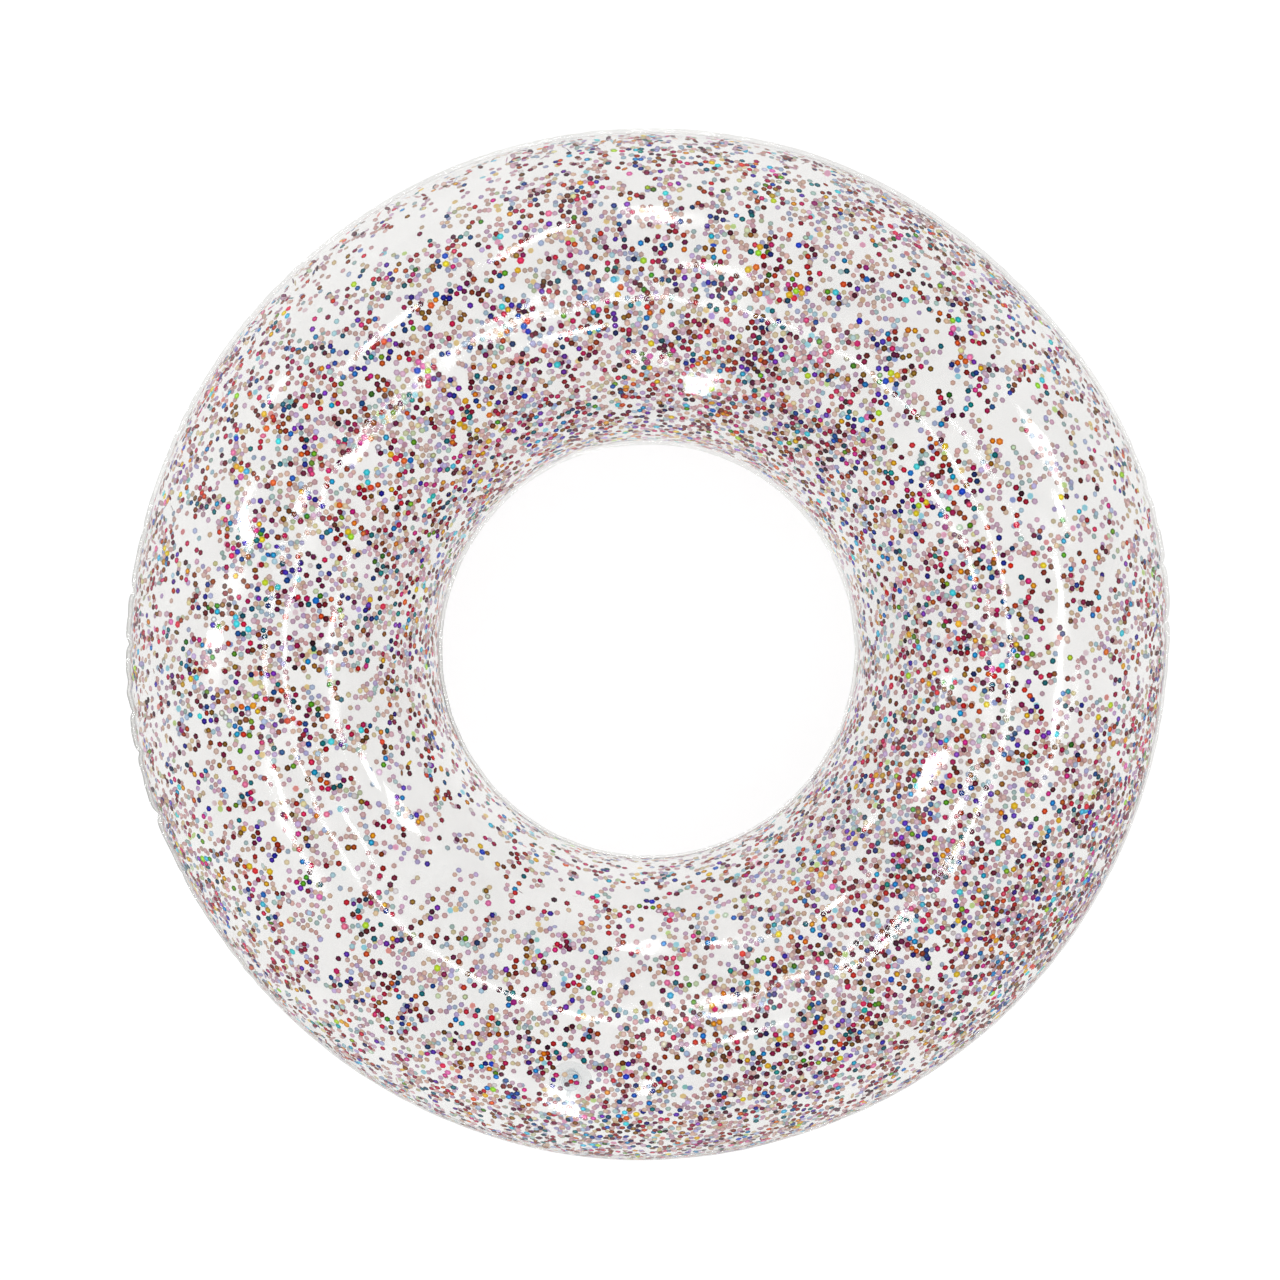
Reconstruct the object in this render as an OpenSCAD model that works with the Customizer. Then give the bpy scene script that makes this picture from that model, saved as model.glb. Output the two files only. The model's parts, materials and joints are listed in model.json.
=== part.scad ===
// Inflatable swim ring of clear film with loose glitter flakes inside.
// Two film rings are welded to each other round their outer and inner edges and blown up to a tube.
// A soft safety valve (flange, skirt, stem, plug, tether and check flap) sits in the lower film.
// Millimetres. Origin at the ring's centre on the weld plane, +Z up through the hole.

/* [Ring] */
// Radius of the tube's centre line
centre_r = 314; // [300:1:330]
// Outside radius of the inflated tube
tube_r = 132; // [126:1:138]
// Gauge of the film
film_t = 0.4; // [0.3:0.05:0.8]
// Width of the outer weld flange
outer_weld_w = 4; // [2:0.5:8]
// Width of the inner weld flange
inner_weld_w = 3; // [2:0.5:6]
// How far the tube's bottom is pressed flat where the ring rests
rest_sag = 0.38; // [0.2:0.01:0.6]

/* [Valve] */
// Direction of the valve round the ring, in degrees from +X
valve_az = 260; // [0:1:359]
// Elevation of the valve on the tube's section, in degrees (negative is below the weld)
valve_el = -45; // [-60:1:-35]
// Radius of the hole cut in the film for the valve
film_hole_r = 11; // [10.8:0.1:12]
// Outer radius of the valve's weld flange
flange_r = 20; // [17:0.5:22]
// Thickness of the valve's weld flange
flange_t = 1; // [0.8:0.1:1.2]
// Radius of the opening in the flange, where the skirt joins it
flange_bore_r = 10.5; // [10:0.1:10.7]
// Outer radius of the stem's tube
stem_r = 6.5; // [6.2:0.1:6.8]
// Radius of the stem's air bore
bore_r = 4; // [3.5:0.1:4.2]
// Radius of the rim at the stem's mouth
rim_r = 8.5; // [8:0.1:9]
// Depth of the stem's inner end below the film's outer surface, with the stem pushed in
stem_depth = 13; // [12:0.5:15]
// Height of the stem's rim above the film's outer surface, with the stem pushed in
rim_top = 2; // [2:0.1:2.4]
// Radial clearance of the plug's shank in the stem's bore
plug_clear = 0.06; // [0.03:0.01:0.1]
// Length of the plug's shank
plug_len = 7; // [5:0.5:8]
// Radius of the plug's head
head_r = 8.2; // [7.5:0.1:8.5]
// Width of the tether strap
tether_w = 4; // [3:0.5:5]
// Distance from the valve's axis to the centre of the tether's bend
tether_reach = 15; // [12:0.5:17]

/* [Glitter] */
// Flakes in each colour group
flakes_per_colour = 48; // [24:4:80]
// Radius of a flake across its corners
flake_r = 2.4; // [1.5:0.1:3]
// Thickness of a flake
flake_t = 0.1; // [0.05:0.05:0.2]
// Gap between the film's inside and a flake
flake_gap = 0.8; // [0.6:0.1:1.5]

/* [Hidden] */
$fn = 96;
// clear film, clear moulded valve and the flakes' colours
FILM = [0.93, 0.94, 0.93, 0.35];
CLEAR = [0.90, 0.93, 0.94, 0.6];
COLOURS = ["#7d1226", "#3a1430", "#b3242c", "#b0336a", "#1c2f5c", "#2f86c4", "#1f6f74",
    "#5f8a3c", "#6a4a9a", "#7c5a30", "#d9a62c", "#c9c3c4"];
groups = len(COLOURS);
// two irrational steps that spread points evenly over a surface
STEP_A = 0.7548776662466927;
STEP_B = 0.5698402909980532;
// the stem's collar where the skirt joins it
skirt_top = -8.4;
skirt_bottom = -9.6;
// the flap's hinge
flap_r = 5;
flap_t = 0.8;
flap_gap = 0.05;
// extra width of the drilling solids
drill = 12;

function frac(x) = x - floor(x);
function valve_point() = let (p = centre_r + tube_r * cos(valve_el))
    [p * cos(valve_az), p * sin(valve_az), tube_r * sin(valve_el)];

// puts children on the film's outside at the valve, with +Z outward
module at_valve() {
    rotate([0, 0, valve_az]) translate([centre_r, 0, 0]) rotate([0, -valve_el, 0])
        translate([tube_r, 0, 0]) rotate([0, 90, 0]) children();
}

// a disc of radius r, cut by the half plane above or below the weld
module half_disc(r, side, cut) {
    intersection() {
        circle(r = r, $fn = 180);
        if (side > 0) translate([-2 * r, 0]) square([4 * r, 2 * r]);
        else translate([-2 * r, -(r - cut)]) square([4 * r, r - cut]);
    }
}

// section of one film: half of the blown tube with its two weld flanges
module film_section(side) {
    cut = side > 0 ? 0 : rest_sag;
    translate([centre_r, 0]) difference() {
        union() {
            half_disc(tube_r, side, cut);
            translate([tube_r - 2, side > 0 ? 0 : -film_t]) square([outer_weld_w + 2, film_t]);
            translate([-tube_r - inner_weld_w, side > 0 ? 0 : -film_t]) square([inner_weld_w + 2, film_t]);
        }
        half_disc(tube_r - film_t, side, cut);
    }
}

// upper film ring
module upper_film() {
    color(FILM) rotate_extrude($fn = 180) film_section(1);
}

// lower film ring, with the valve's hole
module lower_film() {
    color(FILM) difference() {
        rotate_extrude($fn = 180) film_section(-1);
        at_valve() translate([0, 0, -drill / 2]) cylinder(h = drill, r = film_hole_r);
    }
}

// the valve's flange: a disc that follows the film's inside, welded to it round the hole
module valve_flange() {
    color(CLEAR) difference() {
        intersection() {
            rotate_extrude($fn = 180) translate([centre_r, 0]) difference() {
                circle(r = tube_r - film_t, $fn = 180);
                circle(r = tube_r - film_t - flange_t, $fn = 180);
            }
            at_valve() translate([0, 0, -drill / 2]) cylinder(h = drill, r = flange_r);
        }
        at_valve() translate([0, 0, -drill]) cylinder(h = 2 * drill, r = flange_bore_r);
    }
}

// thin cone between the flange and the stem, which turns inside out as the stem pops out
module valve_skirt() {
    color(CLEAR) at_valve() rotate_extrude() polygon([
        [flange_bore_r, -0.85], [flange_bore_r, -1.45], [stem_r, skirt_bottom], [stem_r, skirt_top]]);
}

// stem tube with its rim and air bore
module valve_stem() {
    color(CLEAR) at_valve() difference() {
        rotate_extrude() polygon([
            [0, -stem_depth], [stem_r - 0.4, -stem_depth], [stem_r, -stem_depth + 0.4],
            [stem_r, rim_top - 2], [rim_r - 0.3, rim_top - 1.5], [rim_r, rim_top - 1.5],
            [rim_r, rim_top - 0.3], [rim_r - 0.3, rim_top], [0, rim_top]]);
        translate([0, 0, -stem_depth - 1]) cylinder(h = stem_depth + rim_top + 2, r = bore_r);
    }
}

// plug with a shank, a sealing bead at the tip's start and a head with a finger tab
module valve_plug() {
    color(CLEAR) at_valve() translate([0, 0, rim_top]) {
        rotate_extrude() polygon([
            [0, 0.02], [0, -plug_len], [bore_r - plug_clear - 0.9, -plug_len],
            [bore_r - plug_clear, -plug_len + 1.4], [bore_r - plug_clear, 0.02],
            [head_r - 0.5, 0.02], [head_r, 0.5], [head_r, 1.6], [head_r - 0.6, 2.1],
            [2, 2.4], [0, 2.4]]);
        // finger tab
        difference() {
            translate([0, -3, 0.5]) cube([head_r + 3, 6, 1.1]);
            translate([0, 0, -1]) cylinder(h = 4, r = head_r - 1);
        }
    }
}

// section of the tether: a U-shaped strap seen from its side
module tether_loop() {
    // leaves the rim, turns up outside it and comes back to the plug's head
    mid = (rim_top - 0.9 + rim_top + 1.05) / 2;
    bend = (rim_top + 1.05 - rim_top + 0.9) / 2;
    difference() {
        union() {
            translate([tether_reach, mid]) circle(r = bend + 0.5, $fn = 48);
            translate([0, mid - bend - 0.5]) square([tether_reach, 2 * bend + 1]);
        }
        translate([tether_reach, mid]) circle(r = bend - 0.5, $fn = 48);
        translate([-1, mid - bend + 0.5]) square([tether_reach + 1, 2 * bend - 1]);
    }
}

// strap that keeps the plug on the stem
module plug_tether() {
    color(CLEAR) at_valve() difference() {
        rotate([0, 0, 180]) translate([0, tether_w / 2, 0]) rotate([90, 0, 0])
            linear_extrude(height = tether_w) tether_loop();
        translate([0, 0, rim_top - 5]) cylinder(h = 5, r = rim_r);
        translate([0, 0, rim_top]) cylinder(h = 5, r = head_r);
    }
}

// one-way membrane at the stem's inner end, which hinges on a bead at one edge
module check_flap() {
    color(CLEAR) at_valve() translate([0, 0, -stem_depth - flap_gap - flap_t]) {
        union() {
            cylinder(h = flap_t, r = flap_r);
            translate([2.5, -2, 0]) cube([flap_r - 2.5, 4, flap_t]);
            translate([flap_r, 2, flap_t / 2]) rotate([90, 0, 0]) cylinder(h = 4, r = flap_t / 2);
        }
    }
}

// one glitter flake lying inside the film at angle az round the ring and th round the tube
module flake(az, th, spin) {
    rotate([0, 0, az]) translate([centre_r, 0, 0]) rotate([0, -th, 0])
        translate([tube_r - film_t - flake_gap - flake_t, 0, 0]) rotate([0, 90, 0])
            rotate([0, 0, spin]) cylinder(h = flake_t, r = flake_r, $fn = 6);
}

// a flake stays off the welds, the flat rest strip and the valve
function far_from_valve(az, th) = let (
    q = centre_r + (tube_r - 2) * cos(th),
    p = [q * cos(az), q * sin(az), (tube_r - 2) * sin(th)])
    norm(p - valve_point()) > 34;
function free_place(az, th) = abs(sin(th)) > 0.07 && abs(th - 270) > 8 && far_from_valve(az, th);

// one colour's share of the flakes
module glitter(k) {
    color(COLOURS[k]) for (i = [0 : flakes_per_colour - 1]) {
        j = 1 + k + groups * i;
        az = 360 * frac(j * STEP_A);
        th = 360 * frac(j * STEP_B);
        if (free_place(az, th)) flake(az, th, 47 * j);
    }
}

module glitter_garnet() { glitter(0); }
module glitter_plum() { glitter(1); }
module glitter_scarlet() { glitter(2); }
module glitter_rose() { glitter(3); }
module glitter_navy() { glitter(4); }
module glitter_azure() { glitter(5); }
module glitter_teal() { glitter(6); }
module glitter_green() { glitter(7); }
module glitter_violet() { glitter(8); }
module glitter_bronze() { glitter(9); }
module glitter_gold() { glitter(10); }
module glitter_silver() { glitter(11); }

upper_film();
lower_film();
valve_flange();
valve_skirt();
valve_stem();
valve_plug();
plug_tether();
check_flap();
glitter_garnet();
glitter_plum();
glitter_scarlet();
glitter_rose();
glitter_navy();
glitter_azure();
glitter_teal();
glitter_green();
glitter_violet();
glitter_bronze();
glitter_gold();
glitter_silver();
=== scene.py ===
import json
import math

import bmesh
import bpy
import numpy as np
from mathutils import Matrix, Vector


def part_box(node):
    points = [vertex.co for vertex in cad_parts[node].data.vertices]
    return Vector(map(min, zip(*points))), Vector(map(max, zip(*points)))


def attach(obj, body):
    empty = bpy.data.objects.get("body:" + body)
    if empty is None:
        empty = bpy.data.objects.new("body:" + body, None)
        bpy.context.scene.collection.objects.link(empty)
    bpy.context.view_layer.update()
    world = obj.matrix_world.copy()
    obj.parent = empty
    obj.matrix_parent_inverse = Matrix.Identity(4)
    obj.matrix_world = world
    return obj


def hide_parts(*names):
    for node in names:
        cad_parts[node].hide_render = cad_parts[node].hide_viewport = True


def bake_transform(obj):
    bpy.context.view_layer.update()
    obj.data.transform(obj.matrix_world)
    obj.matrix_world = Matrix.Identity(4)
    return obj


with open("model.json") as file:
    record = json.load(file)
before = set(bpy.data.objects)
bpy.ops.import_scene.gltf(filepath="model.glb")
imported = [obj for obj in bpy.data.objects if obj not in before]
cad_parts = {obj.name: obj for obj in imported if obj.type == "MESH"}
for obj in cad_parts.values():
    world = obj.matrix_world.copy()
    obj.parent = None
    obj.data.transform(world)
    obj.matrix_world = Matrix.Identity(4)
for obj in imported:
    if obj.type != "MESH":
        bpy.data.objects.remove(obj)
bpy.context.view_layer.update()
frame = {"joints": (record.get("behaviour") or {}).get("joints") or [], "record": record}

TAU = 2 * math.pi

# ---------------------------------------------------------------- sizes, from the frame
record = frame["record"]
rest = next(m for m in record["mounts"] if m["name"] == "rest_face")
joints = {j["name"]: j for j in frame["joints"]}
R = rest["pos_m"][0]                       # tube's centre line
FLOOR_Z = rest["pos_m"][2]
tip_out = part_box("upper_film")[1].x        # outer weld flange's tip
W_OUT, W_IN, T = 0.004, 0.003, 0.0004      # weld flanges, film
RT = tip_out - W_OUT - R                   # tube's outside radius

N_AX = np.array(joints["stem_pop_out"]["axis"], float)       # outward at the valve
N_AX /= np.linalg.norm(N_AX)
V_AZ = math.atan2(N_AX[1], N_AX[0])
V_EL = math.asin(N_AX[2])
V_P = np.array([(R + RT * math.cos(V_EL)) * math.cos(V_AZ),
                (R + RT * math.cos(V_EL)) * math.sin(V_AZ), RT * math.sin(V_EL)])
V_X = np.array([math.sin(V_EL) * math.cos(V_AZ), math.sin(V_EL) * math.sin(V_AZ), -math.cos(V_EL)])
V_Y = np.array([-math.sin(V_AZ), math.cos(V_AZ), 0.0])


def valve_world(p):
    """Points in the valve's own frame (mm, z outward) to the row frame (m)."""
    p = np.asarray(p, float) / 1000.0
    return V_P + p[..., 0:1] * V_X + p[..., 1:2] * V_Y + p[..., 2:3] * N_AX


# ---------------------------------------------------------------- film shape
shape_rng = np.random.default_rng(11)


def wave_terms(count, m_lo, m_hi, n_lo, n_hi, rng):
    return [(int(rng.integers(m_lo, m_hi + 1)), int(rng.integers(n_lo, n_hi + 1)),
             rng.uniform(0, TAU), rng.uniform(0.6, 1.0)) for _ in range(count)]


def waves(terms, az, th):
    total = sum(a * np.sin(m * az + n * th + f) for m, n, f, a in terms)
    return total / math.sqrt(sum(a * a for *_, a in terms) / 2 + 1e-9)


BROAD = wave_terms(10, 2, 9, -3, 3, shape_rng)
MEDIUM = wave_terms(16, 8, 34, -8, 8, shape_rng)
FINE = wave_terms(22, 60, 150, -3, 3, shape_rng)
FINER = wave_terms(16, 110, 190, -2, 2, shape_rng)
ENVELOPE = wave_terms(8, 3, 16, 0, 0, shape_rng)
FLUTTER = wave_terms(18, 30, 110, 0, 0, shape_rng)


def around(az, centre, width):
    """Smooth bump of 1 at centre degrees, width in degrees."""
    d = (np.degrees(az) - centre + 180) % 360 - 180
    return np.exp(-0.5 * (d / width) ** 2)


# deep puckers in the outer weld: degrees round the ring, depth in mm, width in degrees, reach round the tube in degrees, lean
PUCKERS = [(173.2, 5.0, 0.46, 17, 0.10), (179.2, 4.4, 0.40, 20, -0.05), (186.7, 5.4, 0.50, 23, 0.06),
           (191.3, 4.2, 0.42, 18, -0.12), (198.4, 5.2, 0.52, 22, 0.08), (205.6, 1.5, 0.40, 15, 0.05),
           (166.4, 1.5, 0.40, 14, -0.06), (9.7, 3.6, 0.42, 17, 0.05), (3.5, 3.2, 0.38, 20, -0.10),
           (-4.5, 1.1, 0.36, 15, 0.0), (17.5, 1.0, 0.36, 13, 0.1)]
for _k in range(26):      # shallow ones all round
    PUCKERS.append((shape_rng.uniform(0, 360), shape_rng.uniform(0.25, 0.7), shape_rng.uniform(0.4, 0.8),
                    shape_rng.uniform(8, 16), shape_rng.uniform(-0.2, 0.2)))


def film_push(az, th):
    """How far the film stands off the true tube, in metres, along its normal. az round the ring, th round the tube, 0 at the outer weld."""
    th = (th + math.pi) % TAU - math.pi
    outer = np.exp(-(np.degrees(np.abs(th)) / 24.0) ** 1.6)
    d = 0.20 * waves(BROAD, az, th) + 0.10 * waves(MEDIUM, az, th)
    # the ring isn't quite round
    side = np.clip(np.cos(th), 0, 1)
    d = d + side * (3.0 * around(az, 189, 15) + 5.6 * around(az, 18, 13) - 3.0 * around(az, 306, 22)
                    - 1.0 * around(az, 128, 25) + 0.8 * around(az, 252, 16))
    # deep puckers, each a valley with a swell on either side
    p = np.zeros(np.broadcast(az, th).shape)
    a = np.degrees(np.abs(th))
    for where, depth, width, reach, lean in PUCKERS:
        gone = np.exp(-(a / reach) ** 1.5)
        x = (np.degrees(az) - where - lean * a * 0.35 * np.sign(th) + 180) % 360 - 180
        wide = width * (1 + a / 9.0)
        bite = np.exp(-np.sqrt(x * x + 0.02) / wide)
        p = p - depth * gone * (bite - 0.36 * np.exp(-0.5 * (x / (2.6 + 0.05 * a)) ** 2))
    # fine radial wrinkles
    env = 0.55 + 0.45 * np.tanh(waves(ENVELOPE, az, 0.0))
    env = env * (0.45 + 1.5 * around(az, 187, 20) + 0.9 * around(az, 8, 13))
    fine = np.exp(-(a / 13.0) ** 1.4) * 0.20 * waves(FINE, az, th) + np.exp(-(a / 6.5) ** 1.3) * 0.09 * waves(FINER, az, th)
    inner = np.exp(-((180 - a) / 9.0) ** 1.5) * 0.05 * waves(FINE, az * 1.0, th)
    d = d + p + env * fine + inner
    # nothing goes through the floor
    low = np.exp(-((a - 90) / 20.0) ** 2) * (th < 0)
    return d * (1 - 0.85 * low) / 1000.0


def seam_wave(az):
    """Up and down wave of the outer weld, in metres."""
    env = 0.35 + 1.3 * around(az, 187, 20) + 0.8 * around(az, 8, 12)
    return (0.45 * env * waves(FLUTTER, az, 0.0)) / 1000.0


def tube_point(az, th, depth=0.0):
    """A point on the film's outside, or depth inside it, with the ring's own outline and wrinkles."""
    push = film_push(az, th)
    rr = RT + push - depth
    thd = np.degrees(np.abs((th + math.pi) % TAU - math.pi))
    dz = seam_wave(az) * np.exp(-(thd / 7.0) ** 1.5)
    rho = R + rr * np.cos(th)
    z = rr * np.sin(th) + dz
    z = np.maximum(z, FLOOR_Z + depth)
    return np.stack([rho * np.cos(az), rho * np.sin(az), z], -1)


def new_mesh(name, verts, faces, smooth=True):
    me = bpy.data.meshes.new(name)
    verts = np.asarray(verts, np.float32)
    if isinstance(faces, np.ndarray):
        k = faces.shape[1]
        me.vertices.add(len(verts))
        me.vertices.foreach_set("co", verts.ravel())
        me.loops.add(faces.size)
        me.loops.foreach_set("vertex_index", faces.ravel().astype(np.int32))
        me.polygons.add(len(faces))
        me.polygons.foreach_set("loop_start", np.arange(0, faces.size, k, dtype=np.int32))
        me.polygons.foreach_set("loop_total", np.full(len(faces), k, np.int32))
        me.update(calc_edges=True)
    else:
        me.from_pydata(verts.tolist(), [], faces)
        me.update()
    me.validate()
    if smooth:
        me.polygons.foreach_set("use_smooth", np.ones(len(me.polygons), bool))
    ob = bpy.data.objects.new(name, me)
    bpy.context.scene.collection.objects.link(ob)
    return ob


def loop_grid(na, m):
    """Quads of a closed profile of m points swept round na steps."""
    i = np.arange(na)[:, None]
    j = np.arange(m)[None, :]
    a = i * m + j
    b = ((i + 1) % na) * m + j
    c = ((i + 1) % na) * m + (j + 1) % m
    d = i * m + (j + 1) % m
    return np.stack([a, b, c, d], -1).reshape(-1, 4)


NA, NTH = 900, 44
# azimuths of the film's sections: closer together where the weld is puckered
_g = np.linspace(0, TAU, 20001)
_c = np.concatenate([[0], np.cumsum(1 + 2.2 * around(_g[:-1], 186, 13) + 2.2 * around(_g[:-1], 6, 8))])
AZ_STEPS = np.interp(np.linspace(0, _c[-1], NA, endpoint=False), _c, _g)


def film(name, side):
    """One film ring as a closed thin shell: tube half, two weld flanges with the weld's ribs, and its own thickness."""
    az = AZ_STEPS[:, None]
    push0 = film_push(az, np.zeros_like(az))
    pushp = film_push(az, np.full_like(az, math.pi))
    wave = seam_wave(az)
    # steps round the tube, closer together near the welds
    u = np.linspace(0, 1, NTH)
    s = 0.5 - 0.5 * np.cos(math.pi * u)
    thv = math.pi * (0.35 * s + 0.65 * u)
    cols = []

    def rho_z(rho, z):
        cols.append(np.stack([rho * np.cos(az)[:, 0], rho * np.sin(az)[:, 0], z], -1))

    def tube(th, depth):
        cols.append(tube_point(az, np.full_like(az, th * side), depth)[:, 0, :])

    r_out = (R + RT + push0)[:, 0]
    r_in = (R - RT - pushp)[:, 0]
    wv = wave[:, 0]
    t0 = math.asin(min(0.9, (T + 0.00025) / RT))
    # weld flange, tip to tube, on the outside face: two ribs pressed by the welding bar
    for f, h in ((1.0, 0.35), (0.97, 0.85), (0.86, 1.0), (0.76, 1.0), (0.70, 0.45), (0.60, 0.45), (0.54, 1.0), (0.40, 1.05),
                 (0.34, 0.5), (0.22, 0.5), (0.14, 1.1)):
        rho_z(r_out + W_OUT * f, wv * (0.75 + 0.5 * f) + side * T * h)
    for th in t0 + (math.pi - 2 * t0) * (thv / math.pi):
        tube(th, 0.0)
    for f, h in ((0.18, 1.1), (0.34, 0.5), (0.52, 0.5), (0.62, 1.0), (0.85, 1.0), (0.97, 0.85), (1.0, 0.35)):
        rho_z(r_in - W_IN * f, np.zeros(NA) + side * T * h)
    rho_z(r_in - W_IN * 1.0, np.zeros(NA))
    rho_z(r_in - W_IN * 0.5, np.zeros(NA))
    rho_z(r_in + T * 0.3, np.zeros(NA))
    ti = math.asin(0.0006 / RT)
    for th in (ti + (math.pi - 2 * ti) * (thv / math.pi))[::-1]:
        tube(th, T)
    rho_z(r_out - T * 0.3, wv * 0.75)
    rho_z(r_out + W_OUT * 0.5, wv * 1.0)
    rho_z(r_out + W_OUT * 1.0, wv * 1.25)
    grid = np.stack(cols, 1)
    m = grid.shape[1]
    faces = loop_grid(NA, m)
    if side < 0:
        faces = faces[:, ::-1]
    return new_mesh(name, grid.reshape(-1, 3), np.ascontiguousarray(faces))


upper = film("film_upper", 1)
lower = film("film_lower", -1)

# the valve's hole in the lower film
HOLE_R = 11.0


def cutter_cylinder(name, radius, z0, z1, n=96):
    a = np.linspace(0, TAU, n, endpoint=False)
    ring0 = np.stack([radius * np.cos(a), radius * np.sin(a), np.full(n, z0)], -1)
    ring1 = np.stack([radius * np.cos(a), radius * np.sin(a), np.full(n, z1)], -1)
    v = valve_world(np.concatenate([ring0, ring1]))
    f = [list(range(n))[::-1], list(range(n, 2 * n))]
    f += [[i, (i + 1) % n, n + (i + 1) % n, n + i] for i in range(n)]
    return new_mesh(name, v, f, smooth=False)


def apply_modifiers(ob):
    dg = bpy.context.evaluated_depsgraph_get()
    me = bpy.data.meshes.new_from_object(ob.evaluated_get(dg), depsgraph=dg)
    ob.modifiers.clear()
    old = ob.data
    ob.data = me
    bpy.data.meshes.remove(old)


def cut(ob, tool):
    m = ob.modifiers.new("cut", "BOOLEAN")
    m.operation, m.object, m.solver = "DIFFERENCE", tool, "MANIFOLD"
    apply_modifiers(ob)
    me = tool.data
    bpy.data.objects.remove(tool)
    bpy.data.meshes.remove(me)


cut(lower, cutter_cylinder("hole_tool", HOLE_R, -6, 6))
for _ob in (upper, lower):
    _ob.data.polygons.foreach_set("use_smooth", np.ones(len(_ob.data.polygons), bool))

# which of the film's two faces a point is on
for _ob in (upper, lower):
    _n = len(_ob.data.vertices)
    _v = np.zeros(_n * 3)
    _ob.data.vertices.foreach_get("co", _v)
    _v = _v.reshape(-1, 3)
    _az = np.arctan2(_v[:, 1], _v[:, 0])
    _q = np.hypot(_v[:, 0], _v[:, 1]) - R
    _th = np.arctan2(_v[:, 2], _q)
    _inside = (np.hypot(_q, _v[:, 2]) < RT + film_push(_az, _th) - T * 0.5).astype(np.float32)
    _inside[_v[:, 2] <= FLOOR_Z + T * 0.5] = 0
    _at = _ob.data.attributes.new("inside", "FLOAT", "POINT")
    _at.data.foreach_set("value", _inside)
    # the cut edge and the fold of each weld show as fine lines
    _rho = np.hypot(_v[:, 0], _v[:, 1])
    _low = np.abs(_v[:, 2]) < 0.006
    _fo = (_rho - (R + RT + film_push(_az, np.zeros(_n)))) / W_OUT
    _fi = ((R - RT - film_push(_az, np.full(_n, math.pi))) - _rho) / W_IN
    _line = np.zeros(_n)
    for _f in (_fo, _fi):
        _line = np.maximum(_line, np.where(_low & (_f > -0.25), np.maximum(np.exp(-((_f - 1) / 0.10) ** 2), np.maximum(0.85 * np.exp(-(_f / 0.13) ** 2), 0.16 * (_f > 0))), 0))
    _line = _line * (0.07 + 1.1 * around(_az, 190, 18) + 0.22 * around(_az, 2, 12) + 0.10 * around(_az, 262, 25))
    _at = _ob.data.attributes.new("weld", "FLOAT", "POINT")
    _at.data.foreach_set("value", _line.astype(np.float32))

# ---------------------------------------------------------------- valve pieces (mm, z outward)


def lathe(name, profile, n=112, closed=True):
    """Revolves (r, z) points, which run once round the section, about the valve's axis."""
    p = np.asarray(profile, float)
    a = np.linspace(0, TAU, n, endpoint=False)
    on_axis = p[:, 0] < 1e-6
    verts, index = [], {}
    for j, (r, z) in enumerate(p):
        if on_axis[j]:
            index[j] = [len(verts)] * n
            verts.append((0.0, 0.0, z))
        else:
            index[j] = list(range(len(verts), len(verts) + n))
            verts += [(r * math.cos(t), r * math.sin(t), z) for t in a]
    faces = []
    m = len(p)
    for j in range(m if closed else m - 1):
        k = (j + 1) % m
        if on_axis[j] and on_axis[k]:
            continue
        for i in range(n):
            i2 = (i + 1) % n
            q = [index[j][i], index[j][i2], index[k][i2], index[k][i]]
            q = [v for c, v in enumerate(q) if v not in q[:c]]
            if len(q) > 2:
                faces.append(q)
    ob = new_mesh(name, valve_world(np.array(verts)), faces)
    return ob


def rounded(points, radii, steps=5):
    """Rounds the corners of a closed section: one radius a corner."""
    out = []
    n = len(points)
    pts = [np.array(p, float) for p in points]
    for i in range(n):
        p, a, b, r = pts[i], pts[i - 1], pts[(i + 1) % n], radii[i]
        if r <= 0:
            out.append(tuple(p))
            continue
        u, v = a - p, b - p
        lu, lv = np.linalg.norm(u), np.linalg.norm(v)
        u, v = u / lu, v / lv
        cosang = float(np.clip(u @ v, -1, 1))
        half = math.acos(cosang) / 2
        cutl = min(r / math.tan(half), 0.48 * lu, 0.48 * lv)
        s, e = p + u * cutl, p + v * cutl
        for k in range(steps + 1):
            t = k / steps
            out.append(tuple((1 - t) ** 2 * s + 2 * t * (1 - t) * p + t * t * e))
    return out


def outward(ob):
    """Makes every face's normal point out of the solid."""
    bm = bmesh.new()
    bm.from_mesh(ob.data)
    bmesh.ops.remove_doubles(bm, verts=bm.verts, dist=1e-7)
    bmesh.ops.recalc_face_normals(bm, faces=bm.faces)
    bm.to_mesh(ob.data)
    bm.free()
    ob.data.update()
    return ob


def crisp(ob, degrees=38):
    """Smooth shading with the edges sharper than that left crisp."""
    ob.data.polygons.foreach_set("use_smooth", np.ones(len(ob.data.polygons), bool))
    bm = bmesh.new()
    bm.from_mesh(ob.data)
    lim = math.radians(degrees)
    for e in bm.edges:
        if len(e.link_faces) == 2 and e.calc_face_angle(0) > lim:
            e.smooth = False
    bm.to_mesh(ob.data)
    bm.free()
    return ob


# stem: tube with rim, collar, two thin moulded rings and an air bore
stem_profile = rounded(
    [(4.0, 2.0), (4.0, -13.0), (6.1, -13.0), (6.5, -12.6), (6.5, -6.2), (6.7, -6.2), (6.7, -5.6), (6.5, -5.6),
     (6.5, -3.6), (6.7, -3.6), (6.7, -3.0), (6.5, -3.0), (6.5, 0.0), (8.2, 0.5), (8.5, 0.5), (8.5, 2.0), (4.6, 2.0)],
    [0.0, 0.25, 0.3, 0.3, 0.1, 0.08, 0.08, 0.1, 0.1, 0.08, 0.08, 0.1, 0.5, 0.2, 0.25, 0.4, 0.0], 4)
stem = crisp(outward(lathe("stem", stem_profile)))

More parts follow.
